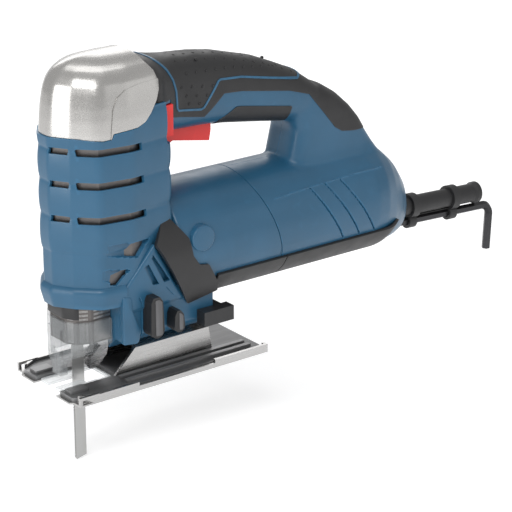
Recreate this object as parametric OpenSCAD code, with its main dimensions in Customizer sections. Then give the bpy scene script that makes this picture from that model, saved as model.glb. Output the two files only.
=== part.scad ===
// Electric jigsaw with a top D-handle, split into the pieces it comes apart into.
// Millimetres, +Z up. The origin is on the bevel axis: mid-length of the base plate,
// on the mid-plane, in the plane of the sole. -X is the cutting direction and -Y is
// the tool's left side, where the levers are.

/* [Base plate] */
// Length of the base plate and its sliding shoe
plate_l = 141; // [120:1:180]
// Width of the base plate over the shoe's rails
plate_w = 70; // [64:1:90]
// Thickness of the sliding shoe's sole
shoe_t = 1; // [0.8:0.1:1.5]
// Thickness of the steel base plate
plate_t = 2.5; // [2:0.1:3]
// Height of the stiffening ribs above the steel plate
rib_h = 1.8; // [1:0.1:2]
// Width of the blade slot between the two prongs
slot_w = 25; // [24:1:30]
// Thickness of the shoe's side rails
rail_t = 1.8; // [1:0.1:3]
// Height of the rails where they are full height
rail_h = 5.3; // [4:0.1:5.5]
// Outer radius of the saddle that the machine tilts on
saddle_r = 21.7; // [18:0.1:26]
// Thickness of the saddle's bent sheet
saddle_t = 2; // [1.5:0.1:3]

/* [Blade and drive] */
// Distance from the bevel origin forward to the plunger's axis
plunger_x = 46.8; // [44:0.1:49]
// Diameter of the plunger rod
rod_d = 8; // [6:0.5:10]
// Length of the blade's stroke
stroke = 26; // [18:1:27]
// Width of the saw blade
blade_w = 8; // [5:0.5:9]
// Thickness of the saw blade
blade_t = 1.2; // [0.9:0.1:1.5]
// Length of blade below the sole at mid-stroke
blade_reach = 51.5; // [40:0.5:80]
// Tooth pitch of the saw blade
tooth_pitch = 1.8; // [1.2:0.1:3]
// Teeth on the crank gear
gear_teeth = 40; // [36:1:42]
// Teeth on the motor's pinion
pinion_teeth = 9; // [9:1:10]
// Module of the gear teeth
tooth_module = 1.2; // [1:0.05:1.25]
// Face width of the gears
gear_w = 8; // [6:0.5:10]
// Radius of the blade guide roller
roller_r = 5; // [4:0.1:5]

/* [Motor] */
// Height of the motor barrel's underside above the sole
barrel_low = 40.5; // [40:0.5:44]
// Outer radius of the motor barrel
barrel_r = 36.5; // [34:0.5:45]
// Radius of the armature's laminated core
core_r = 19; // [14:0.5:22]
// Radius of the armature shaft
shaft_r = 4; // [3.5:0.1:5]
// Thickness of the rubber strip under the barrel
bumper_t = 1.8; // [1:0.1:2.5]

/* [Head] */
// Distance from the origin to the head's front face
head_front = 65.3; // [64:0.1:80]
// Half width of the head at its widest
head_half = 31; // [30:0.5:38]
// Height of the joint between the plastic head and its metal cap
cap_z = 158; // [154:1:165]
// Height of the top of the head
head_top = 200.5; // [196:0.5:215]
// Height of the underside of the foot above the sole
foot_z = 22; // [21.9:0.1:27]
// Half width of the foot above its chamfers
foot_half = 30.5; // [28:0.5:33]

/* [Handle] */
// Half width of the handle
handle_half = 18; // [16:0.5:21]
// Thickness of the soft grip on the handle
grip_t = 2.4; // [1.5:0.1:3]
// Travel of the trigger
trigger_travel = 5; // [3:0.5:5]

/* [Cable outlet] */
// Length of the flexible cable sleeve outside the housing
sleeve_l = 68; // [50:1:90]
// Outer radius of the cable sleeve
sleeve_r = 6.3; // [5:0.1:8]
// Radius of the bore for the mains cable
cable_r = 4; // [3:0.1:4.5]
// Angle by which the sleeve droops
droop = 2.7; // [0:0.1:5]
// Size across the flats of the hex key
key_af = 5; // [4:0.5:6]

/* [Walls and fits] */
// Wall of the plastic shells
wall = 2.6; // [2:0.1:3]
// Wall of the cast gear housing
cast_t = 2; // [1.6:0.1:2.2]
// Clear gap between pieces that do not touch
gap = 0.3; // [0.2:0.05:0.5]
// Radial clearance of shafts, pins and rods in their bearings
run_fit = 0.05; // [0.02:0.01:0.09]

/* [Hidden] */
$fn = 48;
BLUE = "#33668f";
BLACK = "#2c2c2d";
RED = "#d8352b";
SILVER = "#c9c9c8";
STEEL = "#8d9094";
BRASS = "#b8924a";

// Corners of an outline moved inwards by d (outwards when d is negative).
// The outline runs anticlockwise.
function unit(v) = v / norm(v);
function normal_of(a, b) = let (e = unit(b - a)) [-e.y, e.x];
function inset(p, d) = [
    for (i = [0 : len(p) - 1])
        let (
            n = len(p),
            n1 = normal_of(p[(i + n - 1) % n], p[i]),
            n2 = normal_of(p[i], p[(i + 1) % n])
        )
        p[i] + d * (n1 + n2) / (1 + n1 * n2)
];
function mirrored(p) = concat(p, [for (i = [len(p) - 1 : -1 : 0]) [p[i].x, -p[i].y]]);

// A flat outline in X and Z, as a slab from y0 to y1.
module slab_y(y0, y1) {
    translate([0, y1, 0]) rotate([90, 0, 0]) linear_extrude(y1 - y0) children();
}
// The same slab on both sides of the mid-plane, from y0 to y1 outwards.
module both_sides(y0, y1) {
    slab_y(y0, y1) children();
    slab_y(-y1, -y0) children();
}
// A flat outline in Y and Z, as a slab from x0 to x1.
module slab_x(x0, x1) {
    translate([x0, 0, 0]) rotate([90, 0, 90]) linear_extrude(x1 - x0) children();
}
// A cylinder along X from x0 to x1.
module rod_x(x0, x1, r) {
    translate([x0, 0, 0]) rotate([0, 90, 0]) cylinder(h = x1 - x0, r = r);
}
// A ring along X.
module ring_x(x0, x1, r, hole) {
    difference() {
        rod_x(x0, x1, r);
        rod_x(x0 - 1, x1 + 1, hole);
    }
}
// A cylinder along Y from y0 to y1.
module rod_y(y0, y1, r) {
    translate([0, y0, 0]) rotate([-90, 0, 0]) cylinder(h = y1 - y0, r = r);
}
module block(lo, hi) {
    translate(lo) cube(hi - lo);
}
BIG = 400;

// ---- levels of the base -------------------------------------------------
plate_top = shoe_t + plate_t;
rib_top = plate_top + rib_h;
plate_front = -plate_l / 2;
slot_end = -plunger_x + 17.3;
prong_in = slot_w / 2;
prong_out = prong_in + 14;
// Anything that stays put while the base tilts to 45 degrees keeps above this line.
function tilt_floor(y) = y + rib_top * 1.4142 + 1.2;

// ---- drive --------------------------------------------------------------
motor_z = barrel_low + barrel_r;
gear_r = gear_teeth * tooth_module / 2;
pinion_r = pinion_teeth * tooth_module / 2;
gear_z = motor_z + gear_r + pinion_r;
gear_shaft_r = 5;
gear_seat_r = 10;
pinion_shaft_r = 3;
gear_front = -28;
gear_back = gear_front + gear_w;
pin_r = 3;
pin_front = -35.8;
yoke_back = pin_front - 0.4;
bearing_front = gear_back + 6;
bearing_back = bearing_front + 6;
rod_r = rod_d / 2;
clamp_top = 43;
clamp_h = 14;
clamp_r = rod_r + 3.4;
ring_r = clamp_r + 1.6;
bush_r = rod_r + 2.5;
floor_z = clamp_top + stroke / 2 + 2;
floor_t = 6;
ceiling_z = 150;
rod_top = ceiling_z + 5 + stroke / 2;

// ---- head ---------------------------------------------------------------
head_rear = 5;
head_half_plan = [
    [-head_front, -5],
    [-head_front + 7.3, -16],
    [-head_front + 19.3, -head_half + 3],
    [-25, -head_half],
    [head_rear, -head_half + 4]
];
head_plan = mirrored(head_half_plan);
collar_bottom = 54;
front_plate_z = 46;
collar_top = 68;
collar_rear = -34.3;
cap_rear = -5;
cap_plan = mirrored([
    [-head_front, -5],
    [-head_front + 7.3, -16],
    [-head_front + 19.3, -head_half + 3],
    [-25, -head_half],
    [cap_rear, -head_half + 2]
]);
nose_plan = mirrored([
    [-plunger_x - 13.2, -8],
    [-plunger_x - 9.2, -14.5],
    [-plunger_x - 1.2, -18],
    [collar_rear, -18]
]);
nose_bottom = 30;
guard_t = 1.8;
guard_low = 6;
guard_high = 44;

// ---- barrel and handle --------------------------------------------------
barrel_front = head_rear + gap;
barrel_top = motor_z + barrel_r;
barrel_end = 215;
seam_top_x = 66;
seam_lean = 1 / 3;
bumper_top = 60;
bumper_x0 = 34;
bumper_x1 = 182;
function seam_x(z) = seam_top_x + (barrel_top - z) * seam_lean;
rear_profile = [
    [seam_x(barrel_low - 1), barrel_low - 1],
    [186, barrel_low - 1],
    [203, 48],
    [205.5, 62],
    [200, 78],
    [190, 96],
    [171, barrel_top + 1],
    [seam_x(barrel_top + 1), barrel_top + 1]
];
rear_plan = mirrored([
    [seam_top_x - 4, -barrel_r - 1],
    [162, -barrel_r - 1],
    [180, -28],
    [205.5, -12]
]);
bumper_plan = mirrored([
    [0, -barrel_r - 1],
    [162, -barrel_r - 1],
    [180, -28],
    [184, -24]
]);
handle_profile = [
    [barrel_front, 146],
    [52, 145],
    [100, 137.5],
    [108, 133],
    [109, 126],
    [104.5, barrel_top - 0.5],
    [104.5, barrel_top - 12],
    [182, barrel_top - 12],
    [170, 115.5],
    [158, 134],
    [143, 149.5],
    [115, 168.5],
    [84, 181],
    [57, 188],
    [28, 192],
    [6, 194],
    [cap_rear + gap, 194.5],
    [cap_rear + gap, cap_z + gap],
    [barrel_front, cap_z + gap]
];
grip_end_x = 163;
panel_outline = [
    [-10, 87],
    [14, 44],
    [33, 54],
    [31, 60],
    [23, 70],
    [15, 73],
    [10, 88],
    [2, 105]
];
panel_in = head_half + gap;
panel_out = barrel_r;

// ---- foot ---------------------------------------------------------------
foot_front = collar_rear + gap;
foot_rear = 32;
foot_top = floor_z - gap;
foot_flat = foot_z - tilt_floor(0);
foot_step_z = 30.2;
foot_section = [
    [-foot_half, foot_step_z + 4],
    [-foot_half + 3, foot_step_z],
    [-foot_flat - foot_step_z + foot_z, foot_step_z],
    [-foot_flat, foot_z],
    [foot_flat, foot_z],
    [foot_flat + foot_step_z - foot_z, foot_step_z],
    [foot_half - 3, foot_step_z],
    [foot_half, foot_step_z + 4],
    [foot_half, foot_top],
    [-foot_half, foot_top]
];
orbital_x = -15;
orbital_z = 37;
blower_x = 1;
blower_z = 36;
lever_shaft_r = 3;
lock_x = foot_rear + 6.5;
lock_top = 39.5;
clamp_x = 18;
clamp_screw_r = 3;
clamp_low = foot_z + 1.2;
// Half width of the openings in the nose and the foot that the roller arm hangs through.
rear_opening = 14;

// ---- blade guide --------------------------------------------------------
roller_x = -plunger_x + blade_w / 2 + 0.25 + roller_r;
roller_z = 11;
arm_x = -27;
arm_z = 38;
arm_half = 4.5;
lug_out = arm_half + 4.5;
// Half width of the insert's slot, which clears the roller arm when the base is tilted.
insert_slot_half = lug_out;
cheek_in = 2.6;
axle_r = 1.5;
arm_pin_r = 2.5;

// ---- handle contents ----------------------------------------------------
trigger_x0 = 11.6;
trigger_x1 = 47.6;
trigger_half = 8;
trigger_top = 150;
switch_z = trigger_top + trigger_travel + 1;
stem_x = 30;
stem_r = 2.5;
stem_h = 8;
// The lock slide's two bars, as lowest X and Z and highest X and Z, and how far out they reach.
lock_bar = [4, 149, 10, 168];
lock_out = handle_half + 4.5;
screw_r = 1.75;
screw_head_r = 3.4;
boss_r = 5;
screw_spots = [[0, 184], [60, 176.5], [112, 152], [128, 140], [146, barrel_top + 6.5]];

// ---- cable outlet, in the sleeve's own frame ----------------------------
sleeve_at = [200, 0, 56.6];
// The sleeve's inner collar, which the two shells trap, from and to along the sleeve.
sleeve_collar = [-12, -4];
sleeve_collar_r = sleeve_r + 3;
key_drop = 10.5;
key_r = key_af / sqrt(3);
key_leg = 90;
key_short = 32;
key_bend = 7;
clip_rings = [14, 50];
clip_w = 6;

module sleeve_frame() {
    translate(sleeve_at) rotate([0, droop, 0]) children();
}

// ---- gear teeth ---------------------------------------------------------
// One tooth's half width as an angle, at radius r, on an involute of base radius rb.
pressure = 25;
backlash = 0.12;
function inv(a) = tan(a) * 180 / PI - a;
function half_tooth(teeth, r) =
    let (
        rp = teeth * tooth_module / 2,
        rb = rp * cos(pressure),
        a = acos(min(1, rb / r)),
        thick = tooth_module * PI / 2 - backlash
    )
    thick / (2 * rp) * 180 / PI + inv(pressure) - inv(a);
function gear_outline(teeth, turn) =
    let (
        rp = teeth * tooth_module / 2,
        rb = rp * cos(pressure),
        tip = rp + 0.8 * tooth_module,
        root = rp - 1.05 * tooth_module,
        low = max(rb, root),
        steps = 3,
        radii = [for (i = [0 : steps]) low + (tip - low) * i / steps]
    )
    [
        for (k = [0 : teeth - 1])
            let (mid = turn + k * 360 / teeth)
            for (p = concat(
                [[root, -half_tooth(teeth, low)]],
                low > root ? [for (i = [0 : steps]) [radii[i], -half_tooth(teeth, radii[i])]]
                    : [for (i = [1 : steps]) [radii[i], -half_tooth(teeth, radii[i])]],
                low > root ? [for (i = [steps : -1 : 0]) [radii[i], half_tooth(teeth, radii[i])]]
                    : [for (i = [steps : -1 : 1]) [radii[i], half_tooth(teeth, radii[i])]],
                [[root, half_tooth(teeth, low)]]
            ))
            p[0] * [cos(mid + p[1]), sin(mid + p[1])]
    ];

// ======== fixed housing ==================================================
module head_prism(d, z0, z1) {
    translate([0, 0, z0]) linear_extrude(z1 - z0) polygon(inset(head_plan, d));
}
// The head's lower edge is a rolled collar that swells out around its middle.
module collar_shape() {
    swell = 2.4;
    edge_in = 0.6;
    swell_z = 61;
    swell_h = 5;
    hull() {
        translate([0, 0, swell_z]) linear_extrude(swell_h) polygon(inset(head_plan, -swell));
        translate([0, 0, collar_bottom]) linear_extrude(collar_top - collar_bottom)
            polygon(inset(head_plan, edge_in));
    }
}
module head_cover() {
    vent_levels = [109, 130, 150];
    vent_front = -56;
    vent_rear = -18;
    vent_half = 2.2;
    front_vent_half = 13;
    front_vent_h = 4;
    color(BLUE)
        difference() {
            union() {
                head_prism(0, floor_z, cap_z);
                intersection() {
                    collar_shape();
                    block([-BIG, -BIG, 0], [collar_rear, BIG, collar_top]);
                }
            }
            head_prism(wall, floor_z - 1, cap_z + 1);
            translate([0, 0, collar_bottom - 1])
                linear_extrude(collar_top) polygon(inset(nose_plan, -gap));
            head_prism(wall, collar_bottom - 1, floor_z);
            for (z = vent_levels) {
                block([vent_front, -BIG, z - vent_half], [vent_rear, BIG, z + vent_half]);
                block([-BIG, -front_vent_half, z], [vent_front, front_vent_half, z + front_vent_h]);
            }
            translate([0, 0, motor_z]) rod_x(0, barrel_front, shaft_r + 4);
            block([lock_bar[0] - 2, -BIG, lock_bar[1] - 1], [barrel_front, BIG, cap_z + 1]);
        }
}
// Upright sides, a sloping shoulder and a flat crown, all of them d inside the cap's surface.
module cap_shape(d) {
    side_h = 12;
    shoulder_z = 189;
    shoulder_in = 5;
    crown_in = 13;
    crown_back = 3;
    slice = 1;
    hull() {
        translate([0, 0, cap_z + gap]) linear_extrude(side_h) polygon(inset(cap_plan, d));
        translate([0, 0, shoulder_z]) linear_extrude(slice) polygon(inset(cap_plan, d + shoulder_in));
        translate([crown_back, 0, head_top - slice - d])
            linear_extrude(slice) polygon(inset(cap_plan, d + crown_in));
    }
}
module head_cap() {
    color(SILVER)
        difference() {
            cap_shape(0);
            cap_shape(wall);
            block([-BIG, -BIG, cap_z], [BIG, BIG, cap_z + gap + 0.01]);
        }
}
module front_plate() {
    thickness = 1.8;
    half = 14.5;
    color(BLACK)
        intersection() {
            translate([0, 0, front_plate_z]) linear_extrude(collar_bottom - front_plate_z - gap)
                difference() {
                    polygon(inset(nose_plan, -thickness));
                    polygon(inset(nose_plan, -gap));
                }
            block([-BIG, -half, 0], [-plunger_x, half, BIG]);
        }
}
module gear_housing() {
    color(SILVER) {
        arm_lugs();
        difference() {
            union() {
                intersection() {
                    head_prism(wall + gap, floor_z, ceiling_z + floor_t);
                    block([-BIG, -BIG, 0], [bearing_front - gap, BIG, BIG]);
                }
                translate([0, 0, nose_bottom])
                    linear_extrude(floor_z - nose_bottom + 1) polygon(nose_plan);
            }
            intersection() {
                head_prism(wall + gap + cast_t, floor_z + floor_t, ceiling_z);
                block([-BIG, -BIG, 0], [bearing_front, BIG, BIG]);
            }
            translate([0, 0, nose_bottom - 1])
                linear_extrude(floor_z - nose_bottom + 1)
                    polygon(inset(nose_plan, cast_t));
            block(
                [collar_rear - cast_t - 1, -rear_opening, nose_bottom - 1],
                [0, rear_opening, floor_z]
            );
            translate([-plunger_x, 0, floor_z - 1]) cylinder(h = BIG, r = bush_r);
        }
    }
}
// Two lugs under the casting's floor hold the roller arm's pivot pin.
module arm_lugs() {
    lug_r = 4.5;
    difference() {
        both_sides(arm_half + 2 * gap, lug_out)
            translate([arm_x - lug_r, arm_z - lug_r])
                square([2 * lug_r, floor_z + 1 - arm_z + lug_r]);
        translate([arm_x, 0, arm_z]) rod_y(-lug_out - 1, lug_out + 1, arm_pin_r);
    }
}
module bearing_plate() {
    color(SILVER)
        difference() {
            intersection() {
                head_prism(wall + gap, floor_z + gap, ceiling_z + floor_t);
                block([bearing_front, -BIG, 0], [bearing_back, BIG, BIG]);
            }
            translate([0, 0, gear_z])
                rod_x(bearing_front - 1, bearing_back + 1, gear_seat_r);
            translate([0, 0, motor_z])
                rod_x(bearing_front - 1, bearing_back + 1, shaft_r + 1);
        }
}
module plunger_bushes() {
    color(BRASS)
        for (z = [floor_z, ceiling_z])
            translate([-plunger_x, 0, z])
                difference() {
                    cylinder(h = floor_t, r = bush_r);
                    translate([0, 0, -1]) cylinder(h = floor_t + 2, r = rod_r + run_fit);
                }
}
module gear_bearing() {
    color(STEEL)
        translate([0, 0, gear_z])
            ring_x(bearing_front, bearing_back, gear_seat_r, gear_shaft_r + run_fit);
}

// ---- motor --------------------------------------------------------------
// The two ball bearings of the armature, and the seats that hold them.
seat_r = 11;
seat_w = 8;
front_seat = barrel_front + seat_w;
rear_seat = 152;
bracket_back = rear_seat + seat_w;
module barrel_part(r, x0, x1) {
    translate([0, 0, motor_z]) rod_x(x0, x1, r);
}
// Everything in front of the slanted seam.
module motor_front_space() {
    slab_y(-BIG, BIG)
        polygon([
            [barrel_front, 0],
            [seam_x(0) - gap, 0],
            [seam_x(ceiling_z) - gap, ceiling_z],
            [barrel_front, ceiling_z]
        ]);
}
module motor_housing() {
    color(BLUE)
        difference() {
            intersection() {
                barrel_part(barrel_r, barrel_front, rear_seat);
                motor_front_space();
            }
            barrel_part(barrel_r - wall, front_seat, rear_seat);
            barrel_part(seat_r, barrel_front - 1, front_seat + 1);
            both_sides(panel_in - gap, BIG) polygon(inset(panel_outline, -gap));
        }
}
module motor_bearings() {
    color(STEEL)
        for (x = [barrel_front, rear_seat])
            translate([0, 0, motor_z]) ring_x(x, x + seat_w, seat_r, shaft_r + run_fit);
}
module rear_bearing_bracket() {
    air_hole_at = 21;
    air_hole_r = 6;
    color(BLACK)
        difference() {
            barrel_part(barrel_r - wall - run_fit, rear_seat, bracket_back);
            barrel_part(seat_r, rear_seat - 1, bracket_back + 1);
            for (a = [45 : 90 : 315])
                translate([0, 0, motor_z])
                    rotate([a, 0, 0])
                        translate([0, 0, air_hole_at])
                            rod_x(rear_seat - 1, bracket_back + 1, air_hole_r);
        }
}
core_x0 = 64;
core_x1 = 112;
air_gap = 0.6;
module stator() {
    color(STEEL)
        translate([0, 0, motor_z])
            ring_x(core_x0, core_x1, barrel_r - wall - run_fit, core_r + air_gap);
}
comm_r = 11;
comm_x0 = 122;
comm_x1 = 138;
// A carbon brush, or with d its holder's outside, which stops short of the commutator.
module brush_box(d) {
    margin = 3;
    brush_half = 4;
    brush_l = 15;
    brush_y0 = comm_r + gap;
    block(
        [comm_x0 + margin - d, brush_y0 + 2 * d, motor_z - brush_half - d],
        [comm_x1 - margin + d, brush_y0 + brush_l, motor_z + brush_half + d]
    );
}
module brush_holders() {
    holder_wall = 1.5;
    color(BRASS)
        for (side = [0, 1])
            mirror([0, side, 0])
                difference() {
                    brush_box(holder_wall);
                    brush_box(0);
                }
}
module carbon_brushes() {
    color(BLACK) for (side = [0, 1]) mirror([0, side, 0]) brush_box(0);
}

// ---- handle shells ------------------------------------------------------
module rear_body(d) {
    intersection() {
        barrel_part(barrel_r - d, seam_top_x - 10, barrel_end);
        slab_y(-BIG, BIG) polygon(inset(rear_profile, d));
        linear_extrude(BIG) polygon(inset(rear_plan, d));
    }
}
// The shell's screws, or with d the room around them, open outwards.
module screw_shape(d) {
    tip = -12;
    head_in = handle_half - 3.5;
    head_out = handle_half - 0.5;
    for (p = screw_spots)
        translate([p[0], 0, p[1]]) {
            rod_y(tip - d, head_in + 0.5, screw_r + d);
            rod_y(head_in, head_out + 10 * d, screw_head_r + d);
        }
}
module handle_bar(d) {
    slab_y(-handle_half + d, handle_half - d) polygon(inset(handle_profile, d));
}
module housing_half() {
    difference() {
        union() {
            difference() {
                union() {
                    handle_bar(0);
                    rear_body(0);
                }
                handle_bar(wall + grip_t);
                rear_body(wall);
                barrel_part(barrel_r - wall, seam_top_x - 10, core_x1);
            }
            difference() {
                for (p = screw_spots)
                    translate([p[0], 0, p[1]]) rod_y(-handle_half + 3, handle_half - 3, boss_r);
                rear_body(wall);
            }
        }
        grip_shape();
        finger_shape();
        screw_shape(0);
        block(
            [trigger_x0 - gap, -trigger_half - gap, trigger_top - 20],
            [trigger_x1 + gap, trigger_half + gap, trigger_top + 2]
        );
        block(
            [lock_bar[0] - gap, -BIG, lock_bar[1] - gap],
            [lock_bar[2] + gap, BIG, lock_bar[3] + gap]
        );
        sleeve_frame() rod_x(-30, 20, sleeve_r);
        sleeve_frame() rod_x(sleeve_collar[0], sleeve_collar[1], sleeve_collar_r);
    }
}
module housing_left() {
    color(BLUE)
        intersection() {
            housing_half();
            block([-BIG, -BIG, 0], [BIG, 0, BIG]);
        }
}
module housing_right() {
    color(BLUE)
        intersection() {
            housing_half();
            block([-BIG, 0, 0], [BIG, BIG, BIG]);
        }
}
// The soft grip is the skin of the bar above this line, down to the rear leg.
grip_under = [
    [cap_rear - 20, 176],
    [40, 172],
    [100, 156],
    [136, 128],
    [grip_end_x, 118],
    [grip_end_x + 30, 118],
    [grip_end_x + 30, 230],
    [cap_rear - 20, 230]
];
module grip_shape() {
    intersection() {
        difference() {
            handle_bar(0);
            slab_y(-handle_half + grip_t, handle_half - grip_t)
                polygon(inset(handle_profile, grip_t));
        }
        slab_y(-BIG, BIG) polygon(grip_under);
    }
}
module top_grip() {
    color(BLACK)
        difference() {
            grip_shape();
            screw_shape(gap);
        }
}
module finger_shape() {
    pad_outline = [[52, 130], [104, 128], [104, 145], [62, 152]];
    intersection() {
        difference() {
            handle_bar(0);
            slab_y(-handle_half + grip_t, handle_half - grip_t)
                polygon(inset(handle_profile, grip_t));
        }
        slab_y(-BIG, BIG) polygon(pad_outline);
    }
}
module finger_grip() {
    color(BLACK) finger_shape();
}
module side_panel(side) {
    color(BLACK)
        mirror([0, side, 0]) slab_y(-panel_out, -panel_in) polygon(panel_outline);
}
module side_panel_left() {
    side_panel(0);
}
module side_panel_right() {
    side_panel(1);
}
module bottom_bumper() {
    color(BLACK)
        intersection() {
            translate([0, 0, motor_z])
                ring_x(bumper_x0, bumper_x1, barrel_r + bumper_t, barrel_r + run_fit);
            block([0, -BIG, 0], [BIG, BIG, bumper_top]);
            linear_extrude(BIG) polygon(inset(bumper_plan, -bumper_t));
        }
}

// ---- foot ---------------------------------------------------------------
module lever_hole(x, z) {
    translate([x, 0, z]) rod_y(-BIG, 0, lever_shaft_r + run_fit);
}
module foot_cover() {
    inner_half = foot_half - wall;
    color(BLUE)
        difference() {
            slab_x(foot_front, foot_rear) polygon(foot_section);
            intersection() {
                slab_x(foot_front + wall, foot_rear - wall) polygon(inset(foot_section, wall));
                block([-BIG, -BIG, 0], [BIG, BIG, foot_top - 0.01]);
            }
            block(
                [foot_front + wall, -inner_half, foot_top - 4],
                [foot_rear - wall, inner_half, BIG]
            );
            block(
                [foot_front - 1, -rear_opening, 0],
                [arm_x + 7, rear_opening, foot_z + wall + 1]
            );
            block([foot_front - 1, -rear_opening, 0], [foot_front + wall + 1, rear_opening, BIG]);
            translate([0, 0, motor_z]) rod_x(0, 60, barrel_r + bumper_t + gap);
            lever_hole(orbital_x, orbital_z);
            lever_hole(blower_x, blower_z);
            translate([clamp_x, 0, 0]) cylinder(h = foot_step_z, r = clamp_screw_r + gap);
        }
}
module base_clamp_screw() {
    head_r = 5.5;
    head_h = 6;
    socket_r = 2.9;
    color(STEEL)
        translate([clamp_x, 0, 0])
            difference() {
                union() {
                    translate([0, 0, clamp_low]) cylinder(h = head_h, r = clamp_screw_r);
                    translate([0, 0, foot_z + wall + gap]) cylinder(h = head_h, r = head_r);
                }
                translate([0, 0, foot_z + 6]) cylinder(h = head_h, r = socket_r, $fn = 6);
            }
}
module clamp_pad() {
    color(BRASS)
        translate([clamp_x, 0, saddle_r + gap])
            cylinder(h = clamp_low - saddle_r - gap, r = clamp_screw_r);
}
guard_plan = mirrored([
    nose_plan[0],
    nose_plan[1],
    nose_plan[2],
    [collar_rear + 30, nose_plan[3].y]
]);
// The guard's outside, or with d its hollow. Its lower end is a narrow tongue between slopes
// that clear the two prongs of the tilted base.
module guard_body(d) {
    half = 22 - d;
    tongue_half = 4.6 - d;
    tongue_top = 14.5 + d;
    tongue_low = 8 + d;
    intersection() {
        translate([0, 0, guard_low])
            linear_extrude(guard_high - guard_low) polygon(inset(guard_plan, d - gap - guard_t));
        slab_x(-BIG, collar_rear - 0.5 + d)
            polygon([
                [-half, guard_high + 6],
                [-half, tilt_floor(22)],
                [-tongue_half, tongue_top],
                [-tongue_half, tongue_low],
                [tongue_half, tongue_low],
                [tongue_half, tongue_top],
                [half, tilt_floor(22)],
                [half, guard_high + 6]
            ]);
    }
}
module blade_guard() {
    slit_at = 7;
    slit_half = 1.5;
    slit_low = 20;
    slit_high = 38;
    ring_space = ring_r + 1.2;
    color("#dfe6ea", 0.5)
        difference() {
            guard_body(0);
            guard_body(guard_t);
            translate([0, 0, nose_bottom - gap])
                linear_extrude(guard_high) polygon(inset(nose_plan, -gap));
            block([-plunger_x - ring_space, -ring_space, 0], [BIG, ring_space, nose_bottom]);
            for (y = [-slit_at, slit_at])
                block([-BIG, y - slit_half, slit_low], [nose_plan[1].x, y + slit_half, slit_high]);
        }
}
module arm_pivot_pin() {
    color(STEEL)
        translate([arm_x, 0, arm_z]) rod_y(-lug_out, lug_out, arm_pin_r);
}

// ---- handle contents ----------------------------------------------------
module switch_body() {
    half = 9;
    height = 20;
    plunge = 11;
    color(BLACK)
        difference() {
            block([14, -half, switch_z], [48, half, switch_z + height]);
            translate([stem_x, 0, switch_z - 1]) cylinder(h = plunge + 1, r = stem_r + gap);
        }
}
module electronics_module() {
    color("#3d6b4a")
        block([66, -8, 150], [98, 8, 163]);
}
module cord_clamp() {
    color(BLACK)
        difference() {
            sleeve_frame() block([-24, -10, -9], [sleeve_collar[0] - 2, 10, 9]);
            sleeve_frame() rod_x(-30, 0, cable_r + 0.5);
        }
}
module cable_sleeve() {
    play = 0.2;
    lip = 1;
    color(BLACK)
        sleeve_frame()
            rotate([0, 90, 0])
                rotate_extrude()
                    polygon([
                        [cable_r, sleeve_collar[0] + play],
                        [sleeve_collar_r - gap, sleeve_collar[0] + play],
                        [sleeve_collar_r - gap, sleeve_collar[1] - play],
                        [sleeve_r, sleeve_collar[1] - play],
                        [sleeve_r, sleeve_l + 3],
                        [sleeve_r + lip, sleeve_l + 5],
                        [sleeve_r + lip, sleeve_l + 8],
                        [cable_r, sleeve_l + 8]
                    ]);
}
module hex_key_clip() {
    ring_t = 1.9;
    web_half = 2.4;
    clip_end = clip_rings[1] + clip_w;
    color(BLACK)
        sleeve_frame()
            difference() {
                union() {
                    for (x = clip_rings) {
                        rod_x(x, x + clip_w, sleeve_r + ring_t);
                        translate([0, 0, -key_drop]) rod_x(x, x + clip_w, key_r + 2);
                        block([x, -web_half, -key_drop], [x + clip_w, web_half, 0]);
                    }
                    block(
                        [clip_rings[0], -web_half, -key_drop + key_r + 0.6],
                        [clip_end, web_half, -sleeve_r - gap]
                    );
                }
                rod_x(0, clip_end + 1, sleeve_r + run_fit);
                translate([0, 0, -key_drop]) rod_x(0, clip_end + 1, key_r + run_fit);
            }
}
module housing_screws() {
    socket_r = 1.6;
    color(STEEL)
        difference() {
            screw_shape(0);
            for (p = screw_spots)
                translate([p[0], 0, p[1]]) rod_y(handle_half - 2, handle_half, socket_r);
        }
}

// ======== moving parts ===================================================
// ---- crank --------------------------------------------------------------
module crank_gear() {
    color(STEEL)
        difference() {
            translate([0, 0, gear_z])
                slab_x(gear_front, gear_back) polygon(gear_outline(gear_teeth, -90));
            translate([0, 0, gear_z]) rod_x(gear_front - 1, gear_back + 1, gear_shaft_r);
            translate([0, stroke / 2, gear_z]) rod_x(gear_front - 1, gear_back + 1, pin_r);
        }
}
module gear_shaft() {
    color(STEEL)
        translate([0, 0, gear_z]) {
            rod_x(gear_front - 1, bearing_back + 2, gear_shaft_r);
            rod_x(gear_back, bearing_front - gap, gear_shaft_r + 3);
        }
}
module crank_pin() {
    color(STEEL)
        translate([0, stroke / 2, gear_z]) rod_x(pin_front, gear_back, pin_r);
}
module counterweight() {
    thickness = 4.5;
    color(STEEL)
        difference() {
            translate([0, 0, gear_z])
                ring_x(gear_front - thickness, gear_front, gear_r - 3, gear_shaft_r + gap);
            block([-BIG, -stroke / 8, 0], [BIG, BIG, BIG]);
        }
}

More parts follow.
